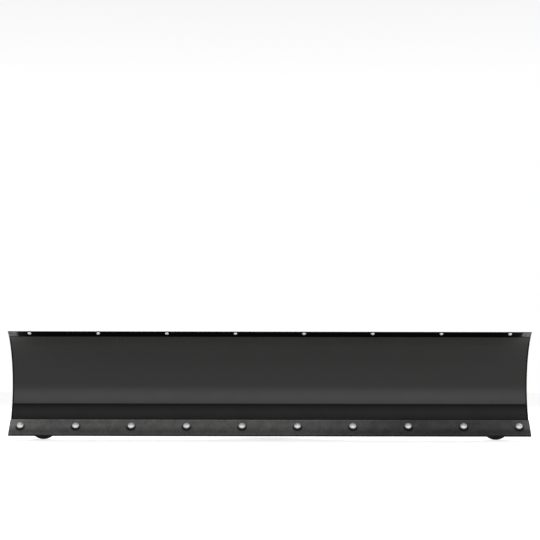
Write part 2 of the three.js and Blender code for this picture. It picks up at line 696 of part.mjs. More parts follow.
function headOutline() {
  const rear = MOUNT_Y - FLANGE_THICKNESS - GAP;
  return [
    ...circle(0, KING_Y, HEAD_NOSE_R, 200, 340, 8),
    [HEAD_HALF, KING_Y + HEAD_SHOULDER], [HEAD_HALF, rear],
    [-HEAD_HALF, rear], [-HEAD_HALF, KING_Y + HEAD_SHOULDER],
  ];
}

const PLATE_LOW_Z = MOUNT_Z - SECTOR / 2 - HEAD_SPACE - HEAD_PLATE;
const PLATE_HIGH_Z = MOUNT_Z + SECTOR / 2 + HEAD_SPACE;
const LATCH_Y = KING_Y + LATCH_ARC_R;

function addHead() {
  const kingHole = circle(0, KING_Y, KING_R + GAP);
  const latchHole = circle(0, LATCH_Y, LATCH_R + RUN);
  const upper = plate('z', headOutline(), PLATE_HIGH_Z, PLATE_HIGH_Z + HEAD_PLATE, [kingHole, latchHole]);
  const lower = plate('z', headOutline(), PLATE_LOW_Z, PLATE_LOW_Z + HEAD_PLATE, [kingHole]);
  add('head_top_plate', upper, 'black_powder_coat');
  add('head_bottom_plate', lower, 'black_powder_coat');
  const [tall, wide] = [FLANGE_HEIGHT / 2, FLANGE_WIDTH / 2];
  const outline = [
    [MOUNT_Z - tall, -wide], [MOUNT_Z + tall, -wide], [MOUNT_Z + tall, wide], [MOUNT_Z - tall, wide],
  ];
  const corners = [[-1, -1], [-1, 1], [1, 1], [1, -1]];
  const holes = corners.map(([up, out]) => (
    circle(MOUNT_Z + up * MOUNT_BOLT_Z, out * MOUNT_BOLT_X, MOUNT_BOLT_R)));
  add('head_flange', plate('y', outline, MOUNT_Y - FLANGE_THICKNESS, MOUNT_Y, holes), 'black_powder_coat');
}

function addKingBolt() {
  const place = at(0, KING_Y, 0);
  const top = PLATE_HIGH_Z + HEAD_PLATE + GAP;
  const bottom = PLATE_LOW_Z - GAP;
  const nutEnd = bottom - KING_NUT;
  const shank = rod(KING_R, nutEnd - KING_TAIL, top + OVERRUN, ALONG_Z, place);
  const head = rod(KING_HEX_R, top, top + KING_HEAD, ALONG_Z, place, 6);
  add('king_bolt', join(shank, head), 'zinc_plate');
  const nut = rod(KING_HEX_R, nutEnd, bottom, ALONG_Z, place, 6);
  const thread = rod(KING_R + GAP, nutEnd - OVERRUN, bottom + OVERRUN, ALONG_Z, place);
  add('king_nut', cut(nut, thread), 'zinc_plate');
  const washer = (low) => {
    const [a, b] = [low + GAP, low + HEAD_SPACE - GAP];
    const rim = circle(0, KING_Y, THRUST_WASHER_R, 0, 360, 24);
    return plate('z', rim, a, b, [circle(0, KING_Y, KING_R + GAP)]);
  };
  add('thrust_washer_upper', washer(PLATE_HIGH_Z - HEAD_SPACE), 'bronze');
  add('thrust_washer_lower', washer(PLATE_LOW_Z + HEAD_PLATE), 'bronze');
}

const HOUSING_LOW = PLATE_HIGH_Z + HEAD_PLATE + GAP;
const HOUSING_HIGH = HOUSING_LOW + HOUSING_HEIGHT;
const COLLAR_LOW = HOUSING_LOW + LATCH_COLLAR_UP;
const COLLAR_HIGH = COLLAR_LOW + LATCH_COLLAR;

function addLatch() {
  const place = at(0, LATCH_Y, 0);
  const inner = HOUSING_HIGH - HOUSING_CAP;
  const housing = turned([
    [LATCH_R + RUN, HOUSING_HIGH], [LATCH_R + RUN, inner], [HOUSING_BORE_R, inner],
    [HOUSING_BORE_R, HOUSING_LOW], [HOUSING_R, HOUSING_LOW], [HOUSING_R, HOUSING_HIGH],
    [LATCH_R + RUN, HOUSING_HIGH],
  ], ALONG_Z, place);
  add('latch_housing', housing, 'black_powder_coat');
  const tip = MOUNT_Z + SECTOR / 2 + LATCH_TIP;
  const end = HOUSING_HIGH + LATCH_STANDS_OUT;
  const collarR = HOUSING_BORE_R - COLLAR_RUN;
  const pin = turned([
    [0, tip], [LATCH_R - PIN_CHAMFER, tip], [LATCH_R, tip + PIN_CHAMFER], [LATCH_R, COLLAR_LOW],
    [collarR, COLLAR_LOW], [collarR, COLLAR_HIGH],
    [LATCH_R, COLLAR_HIGH], [LATCH_R, end], [0, end],
  ], ALONG_Z, place);
  const handlePlace = at(0, LATCH_Y, end - LATCH_HANDLE_DOWN);
  const handle = rod(LATCH_HANDLE_R, -LATCH_HANDLE_HALF, LATCH_HANDLE_HALF, ALONG_X, handlePlace, 12);
  add('latch_pin', join(pin, handle), 'zinc_plate');
  const low = COLLAR_HIGH + LATCH_WIRE_R + GAP;
  const high = inner - LATCH_WIRE_R - GAP;
  const turns = angles(0, 360 * LATCH_SPRING_TURNS, 45);
  const coil = turns.map((a, i) => {
    const z = low + ((high - low) * i) / (turns.length - 1);
    return at(LATCH_SPRING_R * cosine(a), LATCH_Y + LATCH_SPRING_R * sine(a), z);
  });
  add('latch_spring', wire(coil, LATCH_WIRE_R, 5), 'spring_steel');
}

// ---------------------------------------------------------------- the whole part

addMoldboard();
addWearBar();
addBackingBars();
addBolts();
addPlainRibs();
addTripRibs();
addTripPins();
addSpringBolts();
addSkidBrackets();
addSetBolts();
addSkids();
addSwivelBeam();
addCheeks();
addSectorPlate();
addTripSprings();
addHead();
addKingBolt();
addLatch();

whole.position.set(0, -MOUNT_Y, -MOUNT_Z);

export default whole;
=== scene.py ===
# A straight snow plow blade in gloss black powder coat, with its trip and swivel gear.
# Metres, +Z up. The blade faces -Y. Left and right are the driver's, so left is +X.
import json
import math

import bmesh
import bpy
import numpy as np
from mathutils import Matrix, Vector

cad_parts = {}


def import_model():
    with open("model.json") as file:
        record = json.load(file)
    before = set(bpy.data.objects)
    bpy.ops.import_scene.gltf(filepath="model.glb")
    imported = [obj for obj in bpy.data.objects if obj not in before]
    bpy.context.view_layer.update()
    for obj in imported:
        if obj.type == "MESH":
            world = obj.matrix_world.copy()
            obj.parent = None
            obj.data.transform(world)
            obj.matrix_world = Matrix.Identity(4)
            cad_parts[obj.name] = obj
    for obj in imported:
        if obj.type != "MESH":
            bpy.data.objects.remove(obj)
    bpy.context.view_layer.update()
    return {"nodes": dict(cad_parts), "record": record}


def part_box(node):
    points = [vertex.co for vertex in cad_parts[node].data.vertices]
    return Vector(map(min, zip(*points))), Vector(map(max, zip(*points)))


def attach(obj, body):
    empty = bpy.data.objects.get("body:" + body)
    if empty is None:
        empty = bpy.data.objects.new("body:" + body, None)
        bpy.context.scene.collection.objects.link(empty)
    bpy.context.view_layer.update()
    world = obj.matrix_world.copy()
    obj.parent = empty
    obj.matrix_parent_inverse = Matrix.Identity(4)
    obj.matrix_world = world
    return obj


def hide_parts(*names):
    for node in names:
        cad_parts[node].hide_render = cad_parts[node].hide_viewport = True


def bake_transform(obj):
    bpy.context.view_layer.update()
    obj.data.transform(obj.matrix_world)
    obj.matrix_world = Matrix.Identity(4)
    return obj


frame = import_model()
MM = 0.001

# ---------------------------------------------------------------- places, from the frame

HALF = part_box("moldboard")[1][0] / MM  # half the blade's width, in mm
FRONT_Y = -0.400  # the tip of the top lip
CUT_Z = -0.095  # the cutting edge
FLOOR_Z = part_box("skid_shoe_left")[0][2]
UP = (0, 0, 1)


def linear(text):
    """An sRGB hex colour as linear values: each channel is raised by the sRGB curve."""
    channels = [int(text[i:i + 2], 16) / 255 for i in (1, 3, 5)]
    return [c / 12.92 if c <= 0.04045 else ((c + 0.055) / 1.055) ** 2.4 for c in channels] + [1.0]


# ---------------------------------------------------------------- the blade's section, in mm
# y runs back from the tip of the top lip and z up from the cutting edge.

BAR_WIDTH, BAR_THICKNESS, BAR_LEAN = 73, 8, math.radians(44)
BAR_FRONT_Y = 5.85  # the bar's lower front corner
CREASE_ABOVE_BAR = 3  # from the bar's top edge to the sheet's lower bend
SHEET = 3
LIP_LENGTH, LIP_LEAN = 28, math.radians(55)
ARC_RADIUS = 225.5
ARC_HIGH, ARC_LOW = math.radians(49.2), math.radians(-17.5)  # above and below the arc's centre
ARC_POINTS = 49
FLAT_LENGTH, FLAT_LEAN = 61.5, math.radians(25)
GAP = 0.3  # the room left between bolted pieces
FLANGE_FACE = BAR_THICKNESS + GAP
FLANGE_END = 6  # how far up the bar's face the sheet stops
CREASE_BEND = 45  # inside radius of the bend above the wear bar
LIP_BEND = 7
BACKING_STEEL = 5
TRIP_X, TRIP_Y, TRIP_Z = 196, 140, 95
SPRING_TOP, SPRING_LOW = (132, 300), (250, 150)
TRIP_REACH = 13.3  # from the middle of a pair of trip ribs to their outer faces
BEAM_Y, BEAM_DEPTH, BEAM_HEIGHT, BEAM_WALL, BEAM_HALF = 175, 40, 60, 4, 232
KING_Y = 250
HEAD_TOP, HEAD_BOTTOM = 112.3, 77.7  # the outer faces of the push head's plates
LATCH_Y = 360
HOUSING_HEIGHT = 62.7
SKID_X, SKID_Y = 811, 150
KEEPER_UP, SET_BOLT_UP = 175, 100
WEAR_BOLT_COUNT, WEAR_BOLT_INSET, WEAR_BOLT_UP = 10, 38.5, 42.5
WEAR_HEAD_R, WEAR_HEAD_H = 12.2, 10
LIP_BOLT_COUNT, LIP_BOLT_INSET, LIP_BOLT_DOWN = 8, 75, 8.5
LIP_HEAD_R, LIP_HEAD_H = 6.5, 2.6


def on_bar(s, d):
    """s up the wear bar's face from its lower front corner and d back through it, as (y, z)."""
    sine, cosine = math.sin(BAR_LEAN), math.cos(BAR_LEAN)
    return np.array([BAR_FRONT_Y + s * sine + d * cosine, BAR_THICKNESS * sine + s * cosine - d * sine])


def world(points):
    """Section millimetres (x, y, z) to metres in the row frame."""
    return np.asarray(points, float) * MM + (0, FRONT_Y, CUT_Z)


CREASE = on_bar(BAR_WIDTH + CREASE_ABOVE_BAR, FLANGE_FACE)
FLAT_TOP = CREASE + FLAT_LENGTH * np.array([math.sin(FLAT_LEAN), math.cos(FLAT_LEAN)])
ARC_CENTRE = FLAT_TOP - ARC_RADIUS * np.array([math.cos(ARC_LOW), math.sin(ARC_LOW)])
ARC_ANGLES = np.linspace(ARC_HIGH, ARC_LOW, ARC_POINTS)
ARC = ARC_CENTRE + ARC_RADIUS * np.stack([np.cos(ARC_ANGLES), np.sin(ARC_ANGLES)], 1)
LIP_TIP = ARC[0] + LIP_LENGTH * np.array([-math.sin(LIP_LEAN), math.cos(LIP_LEAN)])


def fillet(before, corner, after, radius, steps=10):
    """The corner's arc of that radius, from its tangent point on one side to the other."""
    a = (before - corner) / np.linalg.norm(before - corner)
    b = (after - corner) / np.linalg.norm(after - corner)
    half = math.acos(np.clip(a @ b, -1, 1)) / 2
    middle = corner + (a + b) / np.linalg.norm(a + b) * radius / math.sin(half)
    start = corner + a * radius / math.tan(half) - middle
    end = corner + b * radius / math.tan(half) - middle
    share = np.linspace(0, 1, steps)[:, None]
    sweep = math.pi - 2 * half
    return middle + (np.sin((1 - share) * sweep) * start + np.sin(share * sweep) * end) / math.sin(sweep)


def along(a, b, steps):
    """Points from a to b, without b."""
    return a + (b - a) * np.linspace(0, 1, steps, endpoint=False)[:, None]


def face_line():
    """The sheet's front face from the lip's tip down to the flange's end, with its bends rounded."""
    end = on_bar(FLANGE_END, FLANGE_FACE)
    crease = fillet(FLAT_TOP, CREASE, end, CREASE_BEND)
    lip = fillet(LIP_TIP, ARC[0], ARC[3], LIP_BEND, 4)
    upper = [along(LIP_TIP, lip[0], 4), lip, ARC[1:-1]]
    lower = [along(FLAT_TOP, crease[0], 6), crease, along(crease[-1], end, 4)[1:], end]
    return np.vstack(upper + lower)


def backward(line):
    """Unit normals of a line, on the side behind the sheet."""
    run = np.gradient(line, axis=0)
    run /= np.linalg.norm(run, axis=1)[:, None]
    return np.stack([-run[:, 1], run[:, 0]], 1)


FACE = face_line()
BEHIND = backward(FACE)
BACK = FACE + SHEET * BEHIND


def back_at(z):
    """The y of the sheet's back at heights z."""
    order = np.argsort(BACK[:, 1])
    return np.interp(z, BACK[order, 1], BACK[order, 0])


# ---------------------------------------------------------------- surfaces

def grid_faces(rows, columns, close_rows):
    """Quads between neighbours in a stack of closed rings, whose points are stored ring by ring."""
    r = np.arange(rows if close_rows else rows - 1)[:, None]
    c = np.arange(columns)[None, :]
    r2, c2 = (r + 1) % rows, (c + 1) % columns
    corners = [r * columns + c, r * columns + c2, r2 * columns + c2, r2 * columns + c]
    return np.stack(corners, -1).reshape(-1, 4)


def tube_of(rings, closed=False):
    """A surface through a stack of rings, (rows, columns, 3). Open ends are capped with one face each."""
    rows, columns = rings.shape[:2]
    faces = list(map(tuple, grid_faces(rows, columns, closed).tolist()))
    if not closed:
        faces += [tuple(range(columns))[::-1], tuple(range((rows - 1) * columns, rows * columns))]
    return rings.reshape(-1, 3), faces


def frame_of(axis):
    """Two unit vectors square to an axis and to each other."""
    axis = np.asarray(axis, float) / np.linalg.norm(axis)
    helper = np.array([1.0, 0, 0]) if abs(axis[0]) < 0.9 else np.array([0, 1.0, 0])
    u = np.cross(helper, axis)
    u /= np.linalg.norm(u)
    return u, np.cross(axis, u), axis


def turned(profile, axis, place, sides=32, closed=False, radius=None):
    """A profile of (radius, distance along the axis) turned round the axis.
    radius(r, turn, h) may reshape each ring, such as into a hexagon."""
    profile = np.asarray(profile, float)
    u, v, axis = frame_of(axis)
    turn = np.arange(sides) * 2 * math.pi / sides
    r = np.repeat(profile[:, :1], sides, 1)
    h = np.repeat(profile[:, 1:], sides, 1)
    if radius:
        r = radius(r, turn[None, :], h)
    ring = np.cos(turn)[:, None] * u + np.sin(turn)[:, None] * v
    rings = np.asarray(place) + r[..., None] * ring + h[..., None] * axis
    return tube_of(rings, closed)


CHAMFER_SLOPE = 0.58  # the rise of a nut's 30 degree chamfer for each unit that it goes in
TOP_CHAMFER = 1.1  # how much taller the outer chamfer is than the one on the bearing face
SEAT = 0.97  # a nut's round bearing face, as a share of the distance to its flats
THREAD_DEPTH = 0.55  # as a share of the pitch
THREAD_ROWS = 6  # rings a pitch


def hexagon(corner, low, high, axis, place):
    """A hexagon nut or head. Each ring is a hexagon, cut back by a cone at both ends, which leaves the
    usual curved chamfer on the flats."""
    flat = corner * math.cos(math.pi / 6)
    cut = corner - flat
    under = CHAMFER_SLOPE * cut
    over = TOP_CHAMFER * under
    half_cut = flat + cut / 2
    profile = [[0, low], [SEAT * flat, low], [half_cut, low + under / 2], [corner, low + under],
               [corner, high - over], [half_cut, high - over / 2], [SEAT * flat, high], [0, high]]

    def shape(r, turn, _):
        hexed = flat / np.cos((turn + math.pi / 6) % (math.pi / 3) - math.pi / 6)
        return np.minimum(r, hexed)

    return turned(profile, axis, place, 48, radius=shape)


def threaded(radius, pitch, low, high, axis, place, sides=20):
    """A thread: the radius falls and rises once a pitch, in a straight-sided wave that follows the
    turn."""
    rows = np.linspace(low, high, int((high - low) / pitch * THREAD_ROWS) + 2)
    crests = np.stack([np.full(len(rows), radius), rows], 1)
    profile = np.vstack([[0, low], crests, [0, high]])

    def shape(r, turn, h):
        wave = np.abs(((h / pitch - turn / (2 * math.pi)) % 1) * 2 - 1)
        return np.where(r > 0, r - THREAD_DEPTH * pitch * wave, 0)

    return turned(profile, axis, place, sides, radius=shape)


END_OUT, END_SIZE = 0.45, 0.6  # a wire's eased end: how far it stands out, and its size, in radii


def swept(path, radius, sides=12):
    """A round section carried along a path without twisting, with eased ends."""
    path = np.asarray(path, float)
    run = np.gradient(path, axis=0)
    run /= np.linalg.norm(run, axis=1)[:, None]
    normal = frame_of(run[0])[0]
    normals = []
    for step in run:  # one station at a time, each turned from the last
        normal = normal - step * (normal @ step)
        normal /= np.linalg.norm(normal)
        normals.append(normal)
    normals = np.array(normals)
    across = np.cross(run, normals)
    turn = np.arange(sides) * 2 * math.pi / sides
    size = np.broadcast_to(radius, len(path)).astype(float)
    ring = np.cos(turn)[None, :, None] * normals[:, None] + np.sin(turn)[None, :, None] * across[:, None]
    rings = path[:, None] + size[:, None, None] * ring
    first = path[0] - END_OUT * size[0] * run[0] + END_SIZE * size[0] * ring[0]
    last = path[-1] + END_OUT * size[-1] * run[-1] + END_SIZE * size[-1] * ring[-1]
    return tube_of(np.concatenate([first[None], rings, last[None]]))


def smooth_path(points, per_span=8):
    """A Catmull-Rom line through the points, as one array."""
    points = np.asarray(points, float)
    padded = np.vstack([2 * points[0] - points[1], points, 2 * points[-1] - points[-2]])
    t = np.linspace(0, 1, per_span, endpoint=False)[None, :, None]
    a, b, c, d = (padded[i:len(padded) - 3 + i][:, None] for i in range(4))
    square = 2 * a - 5 * b + 4 * c - d
    cube = 3 * b - a - 3 * c + d
    spans = 0.5 * (2 * b + (c - a) * t + square * t ** 2 + cube * t ** 3)
    return np.vstack([spans.reshape(-1, points.shape[1]), points[-1]])


SHARP = math.radians(32)  # edges turning more than this are drawn sharp


def put(name, surfaces, material, body, replaced=(), attributes=None):
    """One mesh from several surfaces in section millimetres. Poles are merged and faces turned out."""
    points, faces, start = [], [], 0
    for piece_points, piece_faces in surfaces:
        points.append(piece_points)
        faces += [tuple(i + start for i in face) for face in piece_faces]
        start += len(piece_points)
    mesh = bpy.data.meshes.new(name)
    mesh.from_pydata(world(np.vstack(points)), [], faces)
    for key, values in (attributes or {}).items():
        layer = mesh.attributes.new(key, "FLOAT", "POINT")
        layer.data.foreach_set("value", np.asarray(values, np.float32))
    work = bmesh.new()
    work.from_mesh(mesh)
    bmesh.ops.remove_doubles(work, verts=work.verts, dist=1e-6)
    bmesh.ops.recalc_face_normals(work, faces=work.faces)
    work.to_mesh(mesh)
    work.free()
    mesh.shade_smooth()
    mesh.set_sharp_from_angle(angle=SHARP)
    mesh.materials.append(material)
    obj = bpy.data.objects.new(name, mesh)
    bpy.context.collection.objects.link(obj)
    if body:
        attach(obj, body)
    if replaced:
        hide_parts(*replaced)
    return obj


def both_sides(make):
    """Makes a piece on the driver's left and again on the right."""
    make("left", 1)
    make("right", -1)


def crosswise(x, outlines):
    """Rings across the blade: one outline of (y, z) at each place x."""
    across = np.broadcast_to(x[:, None, None], outlines.shape[:2] + (1,))
    return np.concatenate([across, outlines], 2)


# ---------------------------------------------------------------- the blade

BACK_MARK = 1000  # added to from_tip on the sheet's rear face, which keeps the front's bands off it


def stations_across(ease, first_step, count):
    """Places along the blade's width: both ends with their eased edge, and an even run between."""
    run = np.linspace(-HALF + first_step, HALF - first_step, count)
    return np.concatenate([[-HALF, -HALF + ease], run, [HALF - ease, HALF]])


def add_moldboard():
    """The rolled sheet: its section line, 3 mm thick with eased edges, carried along X. The line is the
    lip, the arc, a flat and the bolting flange. from_tip is the distance down the front face, with
    BACK_MARK added on the rear one."""
    ease, first_step, stations = 0.7, 8, 180
    middle = (FACE + BACK) / 2
    run = np.gradient(middle, axis=0)
    run /= np.linalg.norm(run, axis=1)[:, None]
    ends = [middle[0] + ease * run[0], middle[-1] - ease * run[-1]]
    line = np.vstack([middle[0], ends[0], middle[1:-1], ends[1], middle[-1]])
    normal = np.vstack([BEHIND[0], BEHIND[0], BEHIND[1:-1], BEHIND[-1], BEHIND[-1]])
    thick = np.full(len(line), SHEET / 2)
    thick[[0, -1]] -= ease
    x = stations_across(ease, first_step, stations)
    inset = np.where(np.abs(x) > HALF - ease / 2, ease, 0)[:, None]
    offset = (thick[None] - inset)[..., None] * normal[None]
    outlines = np.concatenate([line[None] - offset, (line[None] + offset)[:, ::-1]], 1)
    down = np.concatenate([[0], np.cumsum(np.linalg.norm(np.diff(line, axis=0), axis=1))])
    from_tip = np.tile(np.concatenate([down, down[::-1] + BACK_MARK]), (len(x), 1))
    put("blade_sheet", [tube_of(crosswise(x, outlines))], PAINT_BLADE, "blade", ["moldboard"],
        {"from_tip": from_tip.ravel()})


def rounded(corners, radii, steps=5):
    """A closed outline with each corner rounded to its own radius."""
    corners = np.asarray(corners, float)
    count = len(corners)
    return np.vstack([fillet(corners[i - 1], corners[i], corners[(i + 1) % count], radii[i], steps)
                      for i in range(count)])


def add_wear_bar():
    """Flat bar with rolled edges. The cutting edge is worn back by a tenth or so of a millimetre, as two
    slow waves along X, which fade out over the bar's lowest millimetres."""
    ease, first_step, stations = 0.8, 6, 220
    edge_radii = [1.3, 1.4, 1.2, 1.0]
    worn_height = 9
    corners = [on_bar(0, 0), on_bar(BAR_WIDTH, 0),
               on_bar(BAR_WIDTH, BAR_THICKNESS), on_bar(0, BAR_THICKNESS)]
    section = rounded(corners, edge_radii, 6)
    x = stations_across(ease, first_step, stations)
    middle = np.mean(corners, axis=0)
    shrink = np.where(np.abs(x) > HALF - ease / 2, ease, 0.0)[:, None, None]
    inward = (middle - section) / np.linalg.norm(middle - section, axis=1)[:, None]
    rise = np.array([math.sin(BAR_LEAN), math.cos(BAR_LEAN)])
    up = (section - on_bar(0, 0)) @ rise
    wear = 0.15 + 0.1 * np.sin(x / 61) + 0.05 * np.sin(x / 23 + 1)
    worn = wear[:, None] * np.clip(1 - up / worn_height, 0, 1)[None]
    outlines = section[None] + shrink * inward[None] + worn[..., None] * rise
    put("blade_wear_bar", [tube_of(crosswise(x, outlines))], WEAR_STEEL, "blade", ["wear_bar"],
        {"up_bar": np.tile(up, (len(x), 1)).ravel()})


def dome(radius, height, axis, place, rim=1.6, sides=40):
    """A carriage bolt's head: an upright rim, then a low dome that is an ellipse's quarter."""
    ease = 0.5
    t = np.linspace(0, math.pi / 2, 9)
    upper = np.stack([radius * np.cos(t), rim + (height - rim) * np.sin(t)], 1)
    lower = [[0, 0], [radius - ease, 0], [radius, ease]]
    return turned(np.vstack([lower, upper]), axis, place, sides)


def rod(radius, low, high, axis, place, sides):
    """A plain round bar with square ends."""
    return turned([[0, high], [radius, high], [radius, low], [0, low]], axis, place, sides)


BAR_OUT = np.array([0, -math.cos(BAR_LEAN), math.sin(BAR_LEAN)])
LIP_OUT = np.array([0, -math.cos(LIP_LEAN), -math.sin(LIP_LEAN)])


def spread(count, inset):
    """Even places across the blade, the outer two inset from its ends."""
    return np.linspace(-HALF + inset, HALF - inset, count)


def add_wear_bolts():
    """M12 carriage bolts through the bar, with a washer, a nut and a little thread behind."""
    shank, overlap = 6, 0.5
    rear = -(FLANGE_FACE + SHEET + GAP + BACKING_STEEL + GAP)
    washer = rear - 1.6
    nut = rear - 10
    for i, x in enumerate(spread(WEAR_BOLT_COUNT, WEAR_BOLT_INSET)):
        place = np.array([x, *on_bar(WEAR_BOLT_UP, 0)])
        surfaces = [
            dome(WEAR_HEAD_R, WEAR_HEAD_H, BAR_OUT, place),
            rod(shank, rear, overlap, BAR_OUT, place, 20),
            rod(12, washer, rear, BAR_OUT, place, 32),
            hexagon(10.9, nut, washer, BAR_OUT, place),
            threaded(shank, 1.75, nut - 3, nut + overlap, BAR_OUT, place),
        ]
        name = f"wear_bolt_{i + 1:02d}"
        put(f"{name}_carriage", surfaces, ZINC, "blade", [name])


def add_lip_bolts():
    """Low round-headed M6 bolts along the lip, with thin nuts above it."""
    tip = np.array([-math.sin(LIP_LEAN), math.cos(LIP_LEAN)])
    shank, rim, overlap = 3, 0.7, 0.3
    for i, x in enumerate(spread(LIP_BOLT_COUNT, LIP_BOLT_INSET)):
        place = np.array([x, *(LIP_TIP - LIP_BOLT_DOWN * tip)])
        surfaces = [
            dome(LIP_HEAD_R, LIP_HEAD_H, LIP_OUT, place, rim, 28),
            rod(shank, -SHEET - overlap, overlap, LIP_OUT, place, 16),
            hexagon(5.6, -6.4, -3.2, LIP_OUT, place),
            threaded(shank, 1.0, -7.2, -6.2, LIP_OUT, place, 14),
        ]
        name = f"lip_bolt_{i + 1}"
        put(f"{name}_low_head", surfaces, ZINC, "blade", [name])


def weld_bead(x, z_low, z_high, side, phase):
    """A fillet weld up the sheet's back beside a rib: a tube whose size swells once a ripple and drifts
    slowly along the bead."""
    beside, proud, ripple = 4.2, 0.6, 4.1
    z = np.arange(z_low, z_high, 1.3)
    path = np.stack([np.full(len(z), x + side * beside), back_at(z) + proud, z], 1)
    swell = 2.9 + 0.35 * np.abs(np.sin(z / ripple * math.pi + phase)) + 0.2 * np.sin(z / 37 + phase * 3)
    return swept(path, swell, 8)


RIB_X = {"end_rib": 898, "mid_rib": 523, "trip_rib_outer": TRIP_X + 10, "trip_rib_inner": TRIP_X - 10}
WELD_STARTS, WELD_LENGTH = (84, 172, 262), 52


def add_welds():
    """Stitch welds on both sides of each rib where it stands on the moldboard."""
    for name, x in RIB_X.items():
        surfaces = [weld_bead(sign * x, low, low + WELD_LENGTH, edge, x * 0.1 + low + edge)
                    for sign in (1, -1)
                    for edge in (-1, 1)
                    for low in WELD_STARTS]
        put(f"{name}_welds", surfaces, WELD, "blade", ())


# ---------------------------------------------------------------- the trip gear

def hairpin(place, axis, across, length, gap, wire):
    """A hairpin clip: one leg straight through the pin, a bow at the end and a waved leg outside."""
    place, axis, across = (np.asarray(v, float) for v in (place, axis, across))
    end, wave = length / 2, length * 0.28
    straight = [[-end, 0], [end, 0]]
    bow = [[end + 5, 1], [end + 9, gap * 0.35], [end + 8, gap * 0.8], [end + 3, gap * 0.95]]
    waved = [[wave, gap * 0.72], [0, gap + 0.6], [-wave, gap * 0.8], [-end + 1, gap * 1.15]]
    line = smooth_path(straight + bow + waved, 6)
    return swept(place + line[:, :1] * axis + line[:, 1:] * across, wire, 10)


def add_trip_pins():
    """Headed hinge pins, each held by a hairpin clip in its tail."""
    def make(side, sign):
        out = np.array([sign, 0, 0])
        place = np.array([TRIP_X * sign, TRIP_Y, TRIP_Z])
        reach = TRIP_REACH
        tail = -reach - 12
        shank = [[0, tail], [6.4, tail], [8, tail + 1.8], [8, reach], [0, reach]]
        head = [[0, reach], [11.2, reach], [12, reach + 0.8], [12, reach + 3.8], [10.6, reach + 5],
                [0, reach + 5]]
        surfaces = [
            turned(shank, out, place, 32),
            turned(head, out, place, 32),
            hairpin(place - (reach + 6) * out, UP, (0, -1, 0), length=22, gap=9.6, wire=1.3),
        ]
        put(f"trip_pin_{side}_clipped", surfaces, ZINC, "blade", [f"trip_pin_{side}"])
    both_sides(make)


def add_spring_bolts():
    """M12 hex bolts that carry the springs' upper hooks, with their nuts."""
    def make(side, sign):
        out = np.array([sign, 0, 0])
        place = np.array([TRIP_X * sign, *SPRING_TOP])
        reach, shank, corner = TRIP_REACH, 6, 11
        shaft = [[0, -reach - 9], [shank, -reach - 9], [shank, reach + 1], [0, reach + 1]]
        surfaces = [
            turned(shaft, out, place, 28),
            hexagon(corner, reach, reach + 8, out, place),
            hexagon(corner, -reach - 10, -reach, out, place),
            threaded(shank, 1.75, -reach - 13, -reach - 9, out, place),
        ]
        put(f"spring_bolt_{side}_hex", surfaces, ZINC, "blade", [f"spring_bolt_{side}"])
    both_sides(make)


SPRING_WIRE_R, COIL_R, COIL_TURNS = 2.75, 16.25, 12
HOOK_R, LOOP_R = 10.15, 11.5  # at the upper bolt and at the cheek's hole
COIL_FROM_BOLT, COIL_FROM_HOLE = 27, 25
LOOP_CENTRE = 12.5  # from the cheek's hole
LEAD = 5  # how far from the coil the wire has come in to LEAD_R
LEAD_R = 14.25


def spring_line(sign):
    """A hook round the upper bolt, twelve turns of coil and a loop through the cheek's hole.
    The coil is a helix about the line from bolt to hole."""
    top = np.array([TRIP_X * sign, *SPRING_TOP])
    low = np.array([TRIP_X * sign, *SPRING_LOW])
    length = np.linalg.norm(low - top)
    down = (low - top) / length
    side = np.cross(down, (1, 0, 0))
    axes = np.stack([down, side, (1, 0, 0)])
    a = np.radians(np.arange(-130, 91, 20))
    hook = np.stack([-HOOK_R * np.cos(a), HOOK_R * np.sin(a), 0 * a], 1)
    start, end = COIL_FROM_BOLT, length - COIL_FROM_HOLE
    t = np.radians(np.arange(110, 160 + 360 * COIL_TURNS, 18.0))
    coil = np.stack([np.linspace(start, end, len(t)), COIL_R * np.sin(t), COIL_R * np.cos(t)], 1)
    b = np.radians(np.arange(-90, 121, 20))
    loop = np.stack([length - LOOP_CENTRE + LOOP_R * np.cos(b), 0 * b, LOOP_R * np.sin(b)], 1)
    lead_in = [[start / 2, HOOK_R + 2, 0], [start - LEAD, LEAD_R, 0]]
    lead_out = [[end + LEAD, 0, -LEAD_R]]
    line = np.vstack([hook, lead_in, coil, lead_out, loop])
    return top + smooth_path(line, 2) @ axes


def add_trip_springs():
    """Extension springs from the blade to the swivel's cheeks, built as one fixed shape; on the plow they
    stretch as the blade trips.
    """
    def make(side, sign):
        surface = swept(spring_line(sign), SPRING_WIRE_R, 12)
        obj = put(f"trip_spring_{side}_coil", [surface], SPRING, None, [f"trip_spring_{side}"])
        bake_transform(obj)
    both_sides(make)


# ---------------------------------------------------------------- the skids

